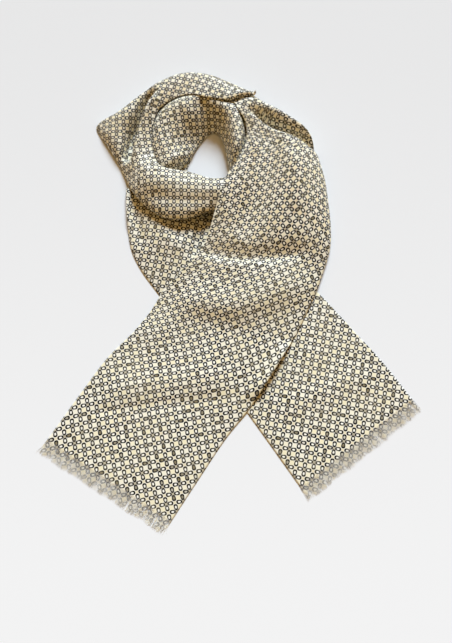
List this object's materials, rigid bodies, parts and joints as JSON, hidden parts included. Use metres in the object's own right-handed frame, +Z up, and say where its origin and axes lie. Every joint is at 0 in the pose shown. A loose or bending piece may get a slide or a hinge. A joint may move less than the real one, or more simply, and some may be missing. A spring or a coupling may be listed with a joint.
{
  "type": "silk scarf",
  "caption": "Long narrow silk scarf with short frayed ends, wound twice round an open neck ring and laid flat with its two tails spread.",
  "frame": {"origin": "middle of the scarf's outline on the surface it lies on", "axes": "+Z up, away from the surface; +Y from the tails towards the neck ring; +X towards the right tail"},
  "size_m": [0.467, 0.6392, 0.0445],
  "materials": {
    "printed_silk": "soft silk with a small lattice print, slight sheen",
    "folded_silk": "soft silk, slight sheen",
    "frayed_silk": "loose silk threads, matte"
  },
  "bodies": {
    "root": {"tail_left": "printed_silk", "wrap_back": "printed_silk", "wrap_front": "printed_silk", "ring_inner": "printed_silk", "tail_right": "printed_silk", "inner_folds": "folded_silk", "fringe_left": "frayed_silk", "fringe_right": "frayed_silk"}
  },
  "joints": []
}
